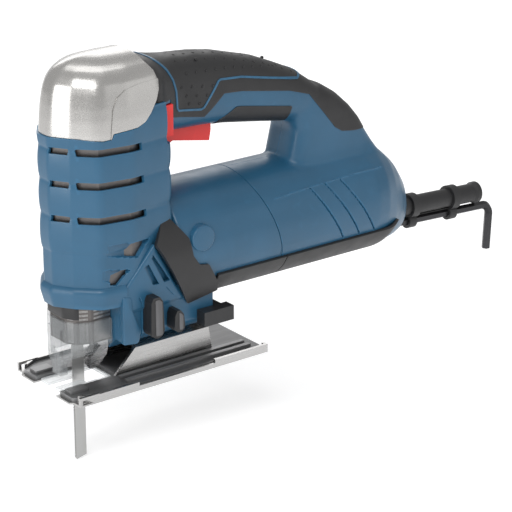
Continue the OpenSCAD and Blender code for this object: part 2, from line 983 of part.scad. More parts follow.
// ---- armature -----------------------------------------------------------
module armature_shaft() {
    color(STEEL)
        translate([0, 0, motor_z]) {
            rod_x(gear_front - 2, bearing_back + 2, pinion_shaft_r);
            rod_x(bearing_back + 2, bracket_back + 2, shaft_r);
        }
}
module armature_core() {
    slot_half = 1.2;
    slot_depth = 2;
    color(BRASS)
        difference() {
            translate([0, 0, motor_z]) rod_x(core_x0 + 1, core_x1 - 1, core_r);
            translate([0, 0, motor_z]) rod_x(core_x0, core_x1, shaft_r);
            for (a = [0 : 30 : 330])
                translate([0, 0, motor_z]) rotate([a, 0, 0])
                    block(
                        [core_x0, -slot_half, core_r - slot_depth],
                        [core_x1, slot_half, core_r + 1]
                    );
        }
}
module commutator() {
    color(BRASS)
        translate([0, 0, motor_z]) ring_x(comm_x0, comm_x1, comm_r, shaft_r);
}
module fan() {
    fan_r = 29;
    hub_r = 9;
    disc_x0 = 40;
    disc_x1 = 42;
    blade_end = 52;
    hub_end = 54;
    blade_half = 0.9;
    color(BLACK)
        difference() {
            translate([0, 0, motor_z]) {
                rod_x(disc_x0, disc_x1, fan_r);
                rod_x(disc_x0, hub_end, hub_r);
                for (a = [0 : 36 : 324])
                    rotate([a, 0, 0])
                        block([disc_x0 + 1, -blade_half, hub_r - 1], [blade_end, blade_half, fan_r - 1]);
            }
            translate([0, 0, motor_z]) rod_x(disc_x0 - 1, hub_end + 1, shaft_r);
        }
}
module pinion() {
    color(STEEL)
        difference() {
            translate([0, 0, motor_z])
                slab_x(gear_front, gear_back)
                    polygon(gear_outline(pinion_teeth, 90 + 180 / pinion_teeth));
            translate([0, 0, motor_z]) rod_x(gear_front - 1, gear_back + 1, pinion_shaft_r);
        }
}

// ---- plunger and blade --------------------------------------------------
module plunger_rod() {
    color(STEEL)
        translate([-plunger_x, 0, clamp_top]) cylinder(h = rod_top - clamp_top, r = rod_r);
}
// A hub on the rod and a plate behind it, with the cross slot for the crank pin.
module yoke() {
    half_h = pin_r + 4;
    half_w = stroke / 2 + 7;
    slot_fit = 0.1;
    slot_half = stroke / 2 + pin_r + 0.2;
    color(STEEL)
        difference() {
            union() {
                translate([-plunger_x, 0, gear_z - half_h])
                    cylinder(h = 2 * half_h, r = rod_r + 3);
                block(
                    [yoke_back - 5, -half_w, gear_z - half_h],
                    [yoke_back, half_w, gear_z + half_h]
                );
            }
            translate([-plunger_x, 0, gear_z - half_h - 1]) cylinder(h = 2 * half_h + 2, r = rod_r);
            block(
                [yoke_back - 4, -slot_half, gear_z - pin_r - slot_fit],
                [yoke_back + 1, slot_half, gear_z + pin_r + slot_fit]
            );
        }
}
shank_top = clamp_top - 3;
module blade_clamp() {
    color(STEEL)
        difference() {
            translate([-plunger_x, 0, clamp_top - clamp_h]) cylinder(h = clamp_h, r = clamp_r);
            block(
                [-plunger_x - blade_w / 2, -blade_t / 2, 0],
                [-plunger_x + blade_w / 2, blade_t / 2, shank_top]
            );
        }
}
tooth_depth = 0.9;
tip_cut = 1.5;
teeth_top = -3;
tooth_count = floor((blade_reach + teeth_top - 1) / tooth_pitch);
module blade() {
    color("#e4e4e2")
        slab_y(-blade_t / 2, blade_t / 2)
            polygon(concat(
                [
                    [-plunger_x + blade_w / 2, -blade_reach + tip_cut],
                    [-plunger_x + blade_w / 2, shank_top],
                    [-plunger_x - blade_w / 2, shank_top],
                    [-plunger_x - blade_w / 2, teeth_top]
                ],
                [
                    for (i = [0 : tooth_count - 1])
                        for (p = [[tooth_depth, -tooth_pitch * 0.35], [0, -tooth_pitch]])
                            [-plunger_x - blade_w / 2 + p[0], teeth_top - i * tooth_pitch + p[1]]
                ],
                [[-plunger_x - blade_w / 2 + tooth_depth, -blade_reach]]
            ));
}
// The ring that releases the blade, with grip flutes around it.
module clamp_ring() {
    ring_h = 8;
    flute_r = 0.8;
    color(BLACK)
        translate([-plunger_x, 0, clamp_top - clamp_h + 3])
            difference() {
                cylinder(h = ring_h, r = ring_r);
                translate([0, 0, -1]) cylinder(h = ring_h + 2, r = clamp_r + run_fit);
                for (a = [0 : 30 : 330])
                    rotate([0, 0, a])
                        translate([ring_r + gap, 0, -1]) cylinder(h = ring_h + 2, r = flute_r);
            }
}

// ---- blade guide --------------------------------------------------------
module roller_arm() {
    color(STEEL)
        difference() {
            slab_y(-arm_half, arm_half)
                polygon([
                    [roller_x - 3, roller_z - 3],
                    [roller_x + 2.5, roller_z - 3.3],
                    [arm_x - 2, 14],
                    [arm_x + 3.5, arm_z - 3],
                    [arm_x + 3.5, arm_z + 4],
                    [arm_x - 3.5, arm_z + 4],
                    [arm_x - 6, 21],
                    [roller_x - 2.5, roller_z + 3.6]
                ]);
            translate([roller_x, 0, roller_z]) rod_y(-cheek_in, cheek_in, roller_r + gap);
            block([-BIG, -cheek_in, 0], [roller_x, cheek_in, roller_z + roller_r]);
            translate([roller_x, 0, roller_z]) rod_y(-arm_half - 1, arm_half + 1, axle_r);
            translate([arm_x, 0, arm_z]) rod_y(-arm_half - 1, arm_half + 1, arm_pin_r + run_fit);
        }
}
module roller_axle() {
    color(STEEL)
        translate([roller_x, 0, roller_z]) rod_y(-arm_half, arm_half, axle_r);
}
module guide_roller() {
    half = cheek_in - gap;
    groove_r = 1.2;
    color(STEEL)
        translate([roller_x, 0, roller_z])
            difference() {
                rod_y(-half, half, roller_r);
                rod_y(-half - 1, half + 1, axle_r + run_fit);
                rotate([90, 0, 0]) rotate_extrude()
                    translate([roller_r + groove_r / 2, 0]) circle(r = groove_r, $fn = 24);
            }
}

// ---- controls -----------------------------------------------------------
module trigger() {
    color(RED)
        union() {
            slab_y(-trigger_half, trigger_half)
                polygon([
                    [trigger_x0, 134],
                    [trigger_x0 + 2.4, 138],
                    [trigger_x0 + 8, 140.4],
                    [trigger_x1 - 1.2, 135.5],
                    [trigger_x1, 142],
                    [trigger_x1, trigger_top],
                    [trigger_x0, trigger_top]
                ]);
            translate([stem_x, 0, trigger_top]) cylinder(h = stem_h, r = stem_r);
        }
}
module trigger_spring() {
    color(STEEL)
        translate([stem_x, 0, trigger_top])
            difference() {
                cylinder(h = switch_z - trigger_top, r = stem_r + 1.6);
                translate([0, 0, -1]) cylinder(h = BIG, r = stem_r + 0.5);
            }
}
// Two bars that stand out on either side, joined by a link through the handle.
module lock_slide() {
    link_z = 160;
    link_h = 4;
    color(RED) {
        block(
            [lock_bar[0], -lock_out, lock_bar[1]],
            [lock_bar[2], -handle_half + 3, lock_bar[3]]
        );
        block(
            [lock_bar[0], handle_half - 3, lock_bar[1]],
            [lock_bar[2], lock_out, lock_bar[3]]
        );
        block(
            [lock_bar[0] + 1, -handle_half + 2, link_z],
            [lock_bar[2] - 1, handle_half - 2, link_z + link_h]
        );
    }
}
// A lever on a shaft along Y: a shank through the foot's wall and a paddle outside it.
lever_y1 = -foot_half - gap;
lever_y0 = lever_y1 - 8.5;
module lever(x, z, length, width) {
    translate([x, 0, z]) {
        rod_y(lever_y1 - 1, -foot_half + 9, lever_shaft_r);
        rod_y(lever_y0, lever_y1, width / 2);
        slab_y(lever_y0, lever_y1)
            polygon([
                [-width / 2, 0],
                [width / 2, 0],
                [width / 2 - 0.8, length - 3],
                [width / 2 - 3, length],
                [-width / 2 + 2, length],
                [-width / 2 + 0.5, length - 3]
            ]);
    }
}
module orbital_lever() {
    paddle_l = 21;
    paddle_w = 9.6;
    color(BLACK) lever(orbital_x, orbital_z, paddle_l, paddle_w);
}
module blower_lever() {
    paddle_l = 10;
    paddle_w = 7.6;
    color(BLACK) lever(blower_x, blower_z, paddle_l, paddle_w);
}
// A hub behind the foot, an arm out to the side, and a finger bar along the foot.
module base_lock_lever() {
    low = foot_step_z + 0.5;
    hub_r = 4.5;
    hub_h = 6.5;
    arm_half_w = 3;
    bar_l = 22;
    color(BLACK)
        union() {
            translate([lock_x, 0, low]) cylinder(h = hub_h, r = hub_r);
            block([lock_x - arm_half_w, lever_y1 - 4, low], [lock_x + arm_half_w, 0, low + 6]);
            block(
                [lock_x + arm_half_w - bar_l, lever_y1 - 8, foot_step_z + 0.2],
                [lock_x + arm_half_w, lever_y1 - 0.2, lock_top]
            );
        }
}

// ======== tilting base ===================================================
module plate_outline(d) {
    front = plate_front + d;
    half = plate_w / 2 - d;
    difference() {
        polygon([
            [front, -prong_out],
            [front + 12, -half],
            [-plate_front - d, -half],
            [-plate_front - d, half],
            [front + 12, half],
            [front, prong_out]
        ]);
        translate([-BIG, -prong_in - d * 0.5]) square([BIG + slot_end + d * 0.5, slot_w + d]);
    }
}
module base_plate() {
    rib_half = 1.5;
    rib_front = -30;
    prong_mid = (prong_in + prong_out) / 2;
    tab_half = 3.5;
    sunk = 0.5;
    color("#5b5b5c") {
        translate([0, 0, shoe_t]) linear_extrude(plate_t) plate_outline(rail_t + gap);
        for (side = [-1, 1]) {
            for (y = [20, 26.5])
                block(
                    [rib_front, side * y - rib_half, plate_top - sunk],
                    [-plate_front - 8, side * y + rib_half, rib_top]
                );
            block(
                [plate_front + 4, side * prong_mid - tab_half, plate_top - sunk],
                [plate_front + 16, side * prong_mid + tab_half, rib_top]
            );
        }
    }
}
// A loop beside each prong that clips the shoe to the steel plate.
module shoe_hook() {
    x0 = plate_front + 2.5;
    x1 = plate_front + 16;
    bar = 1.8;
    top = rail_h + 0.4;
    difference() {
        block([x0, -plate_w / 2, 0], [x1, -plate_w / 2 + rail_t, top]);
        block([x0 + bar, -BIG, shoe_t], [x1 - bar, BIG, top - bar]);
    }
    block([x0, -plate_w / 2, 0], [x0 + 4, -prong_out + 1, shoe_t]);
}
// The rails stand all round, but not across the prongs, the slot and the rear edge, and they
// are low along the middle of the sides.
module slide_shoe() {
    low_rail = 2;
    low_front = -26;
    low_rear = 30;
    margin = 3;
    half = plate_w / 2;
    color(SILVER) {
        linear_extrude(shoe_t) plate_outline(0);
        for (side = [0, 1]) mirror([0, side, 0]) shoe_hook();
        difference() {
            linear_extrude(rail_h) plate_outline(0);
            translate([0, 0, shoe_t]) linear_extrude(rail_h) plate_outline(rail_t);
            block(
                [-BIG, -prong_out - margin, shoe_t],
                [plate_front + 2 * margin, prong_out + margin, BIG]
            );
            block(
                [-BIG, -prong_in - margin, shoe_t],
                [slot_end + margin, prong_in + margin, BIG]
            );
            block([-plate_front - 4, -half + 4, shoe_t], [BIG, half - 4, BIG]);
            for (y = [-half, half])
                block([low_front, y - margin, shoe_t + low_rail], [low_rear, y + margin, BIG]);
        }
    }
}
saddle_wall = saddle_r - 8.5;
saddle_foot = saddle_r - 6;
module saddle_section(d) {
    // Round crown on the bevel axis, then straight walls down to the plate.
    intersection() {
        circle(r = saddle_r - d);
        polygon([
            [-saddle_foot + d, 0],
            [saddle_foot - d, 0],
            [saddle_wall - d, saddle_r * 0.8],
            [saddle_wall - d, saddle_r + 1],
            [-saddle_wall + d, saddle_r + 1],
            [-saddle_wall + d, saddle_r * 0.8]
        ]);
    }
}
module saddle() {
    front = -30;
    rear = 42;
    color(SILVER)
        intersection() {
            difference() {
                slab_x(front - 1, rear) saddle_section(0);
                slab_x(front - 2, rear + 1) saddle_section(saddle_t);
            }
            slab_y(-BIG, BIG)
                polygon([
                    [front, plate_top],
                    [rear, plate_top],
                    [rear - 1.5, saddle_r + 1],
                    [-10, saddle_r + 1],
                    [-13, 18]
                ]);
        }
}
module slot_insert() {
    low = 0.1;
    top = 2;
    blade_slot_half = 4;
    end_wall = 1.2;
    color("#eef1f2", 0.6)
        difference() {
            block(
                [plate_front + 5, -prong_in + gap, low],
                [slot_end - gap, prong_in - gap, top]
            );
            block(
                [-BIG, -blade_slot_half, -1],
                [-plunger_x + blade_w / 2, blade_slot_half, top + 1]
            );
            block(
                [-plunger_x, -insert_slot_half, -1],
                [slot_end - gap - end_wall, insert_slot_half, top + 1]
            );
        }
}
module hex_key() {
    key_start = 4;
    color(BLACK)
        sleeve_frame()
            translate([0, 0, -key_drop]) {
                translate([key_start, 0, 0])
                    rotate([0, 90, 0])
                        cylinder(h = key_leg - key_bend - key_start, r = key_r, $fn = 6);
                translate([key_leg - key_bend, 0, -key_bend])
                    rotate([90, 0, 0])
                        rotate_extrude(angle = 90, $fn = 48)
                            translate([key_bend, 0]) circle(r = key_r, $fn = 6);
                translate([key_leg, 0, -key_short])
                    cylinder(h = key_short - key_bend, r = key_r, $fn = 6);
            }
}

head_cover();
head_cap();
front_plate();
gear_housing();
bearing_plate();
plunger_bushes();
gear_bearing();
motor_housing();
motor_bearings();
rear_bearing_bracket();
stator();
brush_holders();
carbon_brushes();
housing_left();
housing_right();
top_grip();
finger_grip();
side_panel_left();
side_panel_right();
bottom_bumper();
foot_cover();
switch_body();
electronics_module();
cord_clamp();
cable_sleeve();
hex_key_clip();
housing_screws();
base_clamp_screw();
clamp_pad();
blade_guard();
arm_pivot_pin();
crank_gear();
gear_shaft();
crank_pin();
counterweight();
armature_shaft();
armature_core();
commutator();
fan();
pinion();
plunger_rod();
yoke();
blade_clamp();
blade();
clamp_ring();
roller_arm();
roller_axle();
guide_roller();
trigger();
trigger_spring();
lock_slide();
orbital_lever();
blower_lever();
base_lock_lever();
base_plate();
slide_shoe();
saddle();
slot_insert();
hex_key();
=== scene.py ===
import math
import bpy
import bmesh
import numpy as np
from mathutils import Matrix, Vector


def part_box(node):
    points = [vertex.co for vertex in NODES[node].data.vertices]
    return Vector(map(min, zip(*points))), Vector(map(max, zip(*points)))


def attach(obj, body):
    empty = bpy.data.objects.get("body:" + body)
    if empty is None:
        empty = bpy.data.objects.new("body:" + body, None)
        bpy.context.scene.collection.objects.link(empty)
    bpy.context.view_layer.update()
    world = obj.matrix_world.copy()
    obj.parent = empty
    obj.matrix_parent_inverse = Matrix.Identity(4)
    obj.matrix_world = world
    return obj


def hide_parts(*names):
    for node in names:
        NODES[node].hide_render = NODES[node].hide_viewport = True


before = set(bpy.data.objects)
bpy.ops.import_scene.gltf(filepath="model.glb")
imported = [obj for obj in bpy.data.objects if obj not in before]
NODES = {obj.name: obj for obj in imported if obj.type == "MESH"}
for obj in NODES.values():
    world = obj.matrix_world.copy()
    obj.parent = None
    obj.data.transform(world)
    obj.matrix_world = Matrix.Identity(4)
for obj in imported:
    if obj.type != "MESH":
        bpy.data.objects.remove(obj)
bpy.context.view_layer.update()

MM = 0.001


# ---- camera, lights and floor ------------------------------------------------
def make_camera():
    data = bpy.data.cameras.new("camera")
    data.lens = 150.5
    data.sensor_width = 36
    camera = bpy.data.objects.new("camera", data)
    camera.location = (-0.6816, -1.0032, 0.5219)
    look_at = Vector((0.08816, 0, 0.04914))
    camera.rotation_euler = (look_at - camera.location).to_track_quat("-Z", "Y").to_euler()
    bpy.context.scene.collection.objects.link(camera)
    bpy.context.scene.camera = camera


def area_light(name, place, aim, size, power):
    data = bpy.data.lights.new(name, "AREA")
    data.shape = "RECTANGLE"
    data.size, data.size_y = size
    data.energy = power
    lamp = bpy.data.objects.new(name, data)
    lamp.location = place
    lamp.rotation_euler = (Vector(aim) - lamp.location).to_track_quat("-Z", "Y").to_euler()
    bpy.context.scene.collection.objects.link(lamp)


def make_lights():
    centre = (0.08, 0, 0.09)
    area_light("key", (-0.75, -0.75, 1.1), centre, (0.7, 0.5), 7.5)
    area_light("left_strip", (-1.25, -0.25, 0.35), centre, (0.35, 0.9), 4.5)
    area_light("top", (0.15, 0.1, 1.3), centre, (0.9, 0.5), 2.5)
    area_light("right_fill", (0.7, -1.1, 0.5), centre, (0.8, 0.8), 1.0)
    area_light("back", (0.5, 1.0, 0.6), centre, (0.8, 0.5), 2.5)
    world = bpy.data.worlds.new("soft_world")
    world.use_nodes = True
    world.node_tree.nodes["Background"].inputs["Color"].default_value = (1, 1, 1, 1)
    world.node_tree.nodes["Background"].inputs["Strength"].default_value = 0.55
    bpy.context.scene.world = world
    bpy.context.scene.view_settings.view_transform = "Standard"


# ---- materials ---------------------------------------------------------------
class Shader:
    """A Principled material whose colour, roughness and bump come from noise."""

    def __init__(self, name):
        self.material = bpy.data.materials.new(name)
        self.material.use_nodes = True
        self.nodes = self.material.node_tree.nodes
        self.links = self.material.node_tree.links
        self.shader = self.nodes["Principled BSDF"]
        self.place = self.nodes.new("ShaderNodeTexCoord").outputs["Object"]

    def set(self, **values):
        for key, value in values.items():
            self.shader.inputs[key.replace("_", " ")].default_value = value

    def noise(self, scale, detail=3, stretch=(1, 1, 1)):
        mapping = self.nodes.new("ShaderNodeMapping")
        mapping.inputs["Scale"].default_value = stretch
        self.links.new(self.place, mapping.inputs["Vector"])
        node = self.nodes.new("ShaderNodeTexNoise")
        node.inputs["Scale"].default_value = scale
        node.inputs["Detail"].default_value = detail
        self.links.new(mapping.outputs["Vector"], node.inputs["Vector"])
        return node.outputs["Fac"]

    def span(self, value, from_lo, from_hi, to_lo, to_hi):
        node = self.nodes.new("ShaderNodeMapRange")
        for socket, number in zip(node.inputs[1:5], (from_lo, from_hi, to_lo, to_hi)):
            socket.default_value = number
        self.links.new(value, node.inputs["Value"])
        return node.outputs["Result"]

    def blend(self, factor, first, second):
        node = self.nodes.new("ShaderNodeMix")
        node.data_type = "RGBA"
        self.links.new(factor, node.inputs["Factor"])
        for socket, colour in zip(node.inputs[6:8], (first, second)):
            if isinstance(colour, tuple):
                socket.default_value = (*colour, 1)
            else:
                self.links.new(colour, socket)
        return node.outputs[2]

    def edges(self, lo, hi):
        node = self.nodes.new("ShaderNodeNewGeometry")
        return self.span(node.outputs["Pointiness"], lo, hi, 0, 1)

    def bump(self, height, distance, strength=1):
        node = self.nodes.new("ShaderNodeBump")
        node.inputs["Distance"].default_value = distance
        node.inputs["Strength"].default_value = strength
        self.links.new(height, node.inputs["Height"])
        self.links.new(node.outputs["Normal"], self.shader.inputs["Normal"])


def shade(colour, factor):
    return tuple(min(1, channel * factor) for channel in colour)


def plastic(name, colour, rough, grain, depth, wear=1.35, **extra):
    """Moulded plastic or rubber: cloudy colour, fine spark texture, paler edges."""
    s = Shader(name)
    cloud = s.span(s.noise(28, 4), 0.35, 0.65, 0, 1)
    body = s.blend(cloud, shade(colour, 0.93), shade(colour, 1.07))
    scuff = s.span(s.noise(160, 5), 0.6, 0.75, 0, 0.35)
    body = s.blend(scuff, body, shade(colour, 1.2))
    body = s.blend(s.edges(0.6, 0.78), body, shade(colour, wear))
    s.links.new(body, s.shader.inputs["Base Color"])
    s.links.new(s.span(s.noise(90, 4), 0.3, 0.7, rough - 0.05, rough + 0.07), s.shader.inputs["Roughness"])
    s.bump(s.noise(grain, 2), depth)
    s.set(**extra)
    return s.material


def metal(name, colour, rough, stretch, scale=700, depth=0.00003, wear=1.15, metallic=1.0, **extra):
    """Bare or plated metal: brushed or cast grain, with roughness that varies along it."""
    s = Shader(name)
    s.set(Metallic=metallic)
    patch = s.span(s.noise(35, 2), 0.3, 0.7, 0, 1)
    body = s.blend(patch, shade(colour, 0.96), shade(colour, 1.03))
    body = s.blend(s.edges(0.52, 0.62), body, shade(colour, wear))
    s.links.new(body, s.shader.inputs["Base Color"])
    grain = s.noise(scale, 3, stretch)
    s.links.new(s.span(grain, 0.3, 0.7, rough - 0.03, rough + 0.04), s.shader.inputs["Roughness"])
    s.bump(grain, depth)
    s.set(**extra)
    return s.material


def clear_plastic(name, colour, alpha):
    s = Shader(name)
    haze = s.span(s.noise(60, 4), 0.35, 0.7, 0, 1)
    s.links.new(s.blend(haze, colour, shade(colour, 0.86)), s.shader.inputs["Base Color"])
    s.links.new(s.span(s.noise(220, 4), 0.3, 0.7, 0.06, 0.2), s.shader.inputs["Roughness"])
    s.links.new(s.span(haze, 0, 1, alpha, alpha + 0.1), s.shader.inputs["Alpha"])
    s.bump(s.noise(300, 2), 0.00004)
    s.set(Specular_IOR_Level=0.9)
    return s.material


BLUE = (0.019, 0.094, 0.176)
BRUSH_X = (0.06, 1, 1)
CAST = (1, 1, 1)


def make_materials():
    return {
        "blue": plastic("blue_moulding", BLUE, 0.33, 1700, 0.00004, 1.22, Specular_IOR_Level=0.5),
        "rubber": plastic("black_overmould", (0.016, 0.016, 0.017), 0.5, 1500, 0.00007, 1.6),
        "black": plastic("black_moulding", (0.013, 0.013, 0.014), 0.4, 1900, 0.00004, 1.6),
        "grey": plastic("grey_print", (0.10, 0.10, 0.105), 0.5, 1400, 0.00005, 1.2),
        "red": plastic("red_moulding", (0.62, 0.022, 0.02), 0.34, 1700, 0.00003, 1.25),
        "cap": metal("polished_cap", (0.5, 0.49, 0.475), 0.26, CAST, 900, 0.000004, 1.0, 0.9),
        "casting": metal("dark_casting", (0.15, 0.14, 0.135), 0.42, CAST, 420, 0.00008),
        "cast": metal("cast_aluminium", (0.45, 0.44, 0.43), 0.32, CAST, 420, 0.00003),
        "steel": metal("bright_steel", (0.42, 0.42, 0.425), 0.27, BRUSH_X, 900, 0.00001),
        "zinc": metal("rolled_sheet", (0.42, 0.415, 0.41), 0.27, BRUSH_X, 900, 0.00001),
        "dark_sheet": metal("dark_sheet", (0.14, 0.14, 0.142), 0.42, BRUSH_X, 500, 0.00004, 1.9, 0.75),
        "black_oxide": metal("black_oxide", (0.03, 0.03, 0.032), 0.36, CAST, 500, 0.00003, 1.8, 0.8),
        "lamination": metal("laminations", (0.3, 0.3, 0.31), 0.42, (25, 1, 1), 260, 0.00008),
        "copper": metal("copper", (0.7, 0.29, 0.12), 0.32, (1, 25, 25), 300, 0.00006),
        "bronze": metal("bronze", (0.5, 0.35, 0.15), 0.34, CAST, 500, 0.00003),
        "blade": metal("blade_steel", (0.4, 0.4, 0.395), 0.32, (1, 1, 0.05), 800, 0.00001),
        "clear": clear_plastic("clear_guard", (0.3, 0.32, 0.33), 0.24),
        "insert": clear_plastic("clear_insert", (0.8, 0.83, 0.84), 0.45),
        "board": plastic("board_resin", (0.03, 0.1, 0.06), 0.45, 700, 0.0001),
    }


# ---- outlines, in millimetres ------------------------------------------------
def inset(points, distance):
    """The corners of an anticlockwise outline moved inwards by distance."""
    moved = []
    count = len(points)
    for i, here in enumerate(points):
        before = Vector(here) - Vector(points[i - 1])
        after = Vector(points[(i + 1) % count]) - Vector(here)
        n1 = Vector((-before.y, before.x)).normalized()
        n2 = Vector((-after.y, after.x)).normalized()
        moved.append(tuple(Vector(here) + (n1 + n2) * distance / (1 + n1.dot(n2))))
    return moved


def mirrored(points):
    return points + [(x, -y) for x, y in reversed(points)]


def rounded(points, radius, steps=5):
    """Each corner of an outline replaced by an arc. radius is a number or one per corner."""
    most_of_side = 0.48
    nearly_straight = 1.56
    result = []
    count = len(points)
    radii = [radius] * count if isinstance(radius, (int, float)) else radius
    for i, corner in enumerate(points):
        here = Vector(corner)
        a = Vector(points[i - 1]) - here
        b = Vector(points[(i + 1) % count]) - here
        half = a.angle(b) / 2
        reach = min(radii[i] / math.tan(half), a.length * most_of_side, b.length * most_of_side)
        if reach < 0.01 or half > nearly_straight:
            result.append(tuple(here))
            continue
        start = here + a.normalized() * reach
        end = here + b.normalized() * reach
        for k in range(steps + 1):
            t = k / steps
            result.append(tuple(start * (1 - t) ** 2 + here * 2 * t * (1 - t) + end * t * t))
    return result


def resampled(points, count):
    """A closed outline with a fixed number of points, evenly spaced along it."""
    loop = np.array(points + [points[0]])
    steps = np.hypot(*np.diff(loop, axis=0).T)
    along = np.concatenate([[0], np.cumsum(steps)])
    want = np.linspace(0, along[-1], count, endpoint=False)
    return list(zip(np.interp(want, along, loop[:, 0]), np.interp(want, along, loop[:, 1])))


def rectangle(u0, v0, u1, v1):
    return [(u0, v0), (u1, v0), (u1, v1), (u0, v1)]


def ring_at(outline, z, count):
    """A level ring of count points."""
    return [(x, y, z) for x, y in resampled(outline, count)]


def band(line, width):
    """A polyline thickened into a closed outline."""
    points = [Vector(p) for p in line]
    left, right = [], []
    for i, here in enumerate(points):
        before = points[max(i - 1, 0)]
        after = points[min(i + 1, len(points) - 1)]
        along = (after - before).normalized()
        side = Vector((-along.y, along.x)) * width / 2
        left.append(tuple(here + side))
        right.append(tuple(here - side))
    return left + right[::-1]


def inside(x, y, outline):
    found = False
    j = len(outline) - 1
    for i in range(len(outline)):
        xi, yi = outline[i]
        xj, yj = outline[j]
        if (yi > y) != (yj > y) and x < (xj - xi) * (y - yi) / (yj - yi) + xi:
            found = not found
        j = i
    return found


# ---- mesh building, in millimetres -------------------------------------------
def add_object(name, mesh):
    obj = bpy.data.objects.new(name, mesh)
    bpy.context.scene.collection.objects.link(obj)
    return obj


def from_data(name, points, faces):
    mesh = bpy.data.meshes.new(name)
    mesh.from_pydata([Vector(p) * MM for p in points], [], faces)
    bm = bmesh.new()
    bm.from_mesh(mesh)
    bmesh.ops.recalc_face_normals(bm, faces=bm.faces)
    bm.to_mesh(mesh)
    bm.free()
    return add_object(name, mesh)


def loft(name, rings, close=True, ends=True):
    """A skin over rings that have the same number of points."""
    count = len(rings[0])
    points = [p for ring in rings for p in ring]
    faces = []
    for i in range(len(rings) - 1):
        for j in range(count if close else count - 1):
            k = (j + 1) % count
            faces.append((i * count + j, i * count + k, (i + 1) * count + k, (i + 1) * count + j))
    if ends and close:
        faces.append(tuple(range(count)))
        faces.append(tuple(range(len(points) - count, len(points))))
    return from_data(name, points, faces)


def place_2d(axis, u, v, w):
    """A point of an outline seen along axis: X sees (y, z), Y sees (x, z), Z sees (x, y)."""
    return {"x": (w, u, v), "y": (u, w, v), "z": (u, v, w)}[axis]


def prism(name, outline, axis, lo, hi):
    return loft(name, [[place_2d(axis, u, v, w) for u, v in outline] for w in (lo, hi)])


def superellipse(half_w, half_h, power, count=48):
    """Power 2 is an ellipse; a higher power is squarer."""

    def reach(part, half):
        return math.copysign(abs(part) ** (2 / power), part) * half

    angles = [2 * math.pi * k / count for k in range(count)]
    return [(reach(math.cos(a), half_w), reach(math.sin(a), half_h)) for a in angles]


def bake(obj):
    """The object's modifiers applied to its mesh."""
    view = bpy.context.evaluated_depsgraph_get()
    mesh = bpy.data.meshes.new_from_object(obj.evaluated_get(view))
    obj.modifiers.clear()
    obj.data = mesh
    return obj


def join(name, parts):
    bm = bmesh.new()
    for part in parts:
        bm.from_mesh(part.data)
        bpy.data.objects.remove(part)
    mesh = bpy.data.meshes.new(name)
    bm.to_mesh(mesh)
    bm.free()
    return add_object(name, mesh)


def copy_of(obj, name):
    return add_object(name, obj.data.copy())


def clay(name, parts, voxel, passes):
    """Overlapping closed solids fused into one skin with soft corners."""
    obj = join(name, parts)
    remesh = obj.modifiers.new("remesh", "REMESH")
    remesh.mode = "VOXEL"
    remesh.voxel_size = voxel * MM
    smooth = obj.modifiers.new("smooth", "SMOOTH")
    smooth.factor = 0.5
    smooth.iterations = passes
    return bake(obj)


def flat(point, axis):
    """The two coordinates of a point that show when it is seen along axis."""
    return {"x": (point.y, point.z), "y": (point.x, point.z), "z": (point.x, point.y)}[axis]


def near(face, a, b, axis, margin):
    p = Vector(flat(face.calc_center_median(), axis))
    t = max(0, min(1, (p - a).dot(b - a) / max((b - a).length_squared, 1e-12)))
    return (p - a.lerp(b, t)).length < margin


def cut_line(bm, a, b, axis, margin=3.0):
    """Cuts the faces near the line from a to b, seen along axis, with a plane through it."""
    a, b = Vector(a) * MM, Vector(b) * MM
    if (b - a).length < 1e-7:
        return
    faces = [f for f in bm.faces if near(f, a, b, axis, margin * MM)]
    geom = faces + list({e for f in faces for e in f.edges}) + list({v for f in faces for v in f.verts})
    side = Vector((-(b - a).y, (b - a).x)).normalized()
    bmesh.ops.bisect_plane(
        bm,
        geom=geom,
        dist=1e-7,
        plane_co=place_2d(axis, a.x, a.y, 0),
        plane_no=place_2d(axis, side.x, side.y, 0),
    )


def trim(obj, outline, keep=True, axis="y", where=lambda c: True):
    """Keeps, or removes, the part of a skin that lies inside an outline seen along axis."""
    bm = bmesh.new()
    bm.from_mesh(obj.data)
    for i in range(len(outline)):
        cut_line(bm, outline[i - 1], outline[i], axis)
    doomed = []
    for face in bm.faces:
        centre = face.calc_center_median() / MM
        hit = inside(*flat(centre, axis), outline)
        if where(centre):
            if hit != keep:
                doomed.append(face)
        elif keep:
            doomed.append(face)
    bmesh.ops.delete(bm, geom=doomed, context="FACES")
    bm.to_mesh(obj.data)
    bm.free()
    return obj


def groove(obj, line, width, depth, where=lambda c: True, axis="y", margin=3.0):
    """A V-shaped line pressed into a skin, or raised from it when depth is negative."""
    bm = bmesh.new()
    bm.from_mesh(obj.data)
    for a, b in zip(line, line[1:]):
        a, b = Vector(a), Vector(b)
        side = Vector((-(b - a).y, (b - a).x)).normalized() * width / 2
        for shift in (-side, Vector((0, 0)), side):
            cut_line(bm, a + shift, b + shift, axis, margin)
    bm.normal_update()
    for vert in bm.verts:
        p = Vector(flat(vert.co, axis)) / MM
        if not where(vert.co / MM):
            continue
        for a, b in zip(line, line[1:]):
            a, b = Vector(a), Vector(b)
            t = (p - a).dot(b - a) / (b - a).length_squared
            if -0.001 <= t <= 1.001 and (p - a.lerp(b, t)).length < 0.02:
                vert.co -= vert.normal * depth * MM
                break
    bm.to_mesh(obj.data)
    bm.free()
    return obj


def lift(obj, distance):
    bm = bmesh.new()
    bm.from_mesh(obj.data)
    bm.normal_update()
    for vert in bm.verts:
        vert.co += vert.normal * distance * MM
    bm.to_mesh(obj.data)
    bm.free()
    return obj


def thicken(obj, thickness, rim=0.35, segments=2):
    """An open skin given an inward thickness and rounded rims."""
    solid = obj.modifiers.new("solid", "SOLIDIFY")
    solid.thickness = thickness * MM
    solid.offset = -1
    solid.use_even_offset = False
    soften(obj, rim, segments, 50)
    return obj


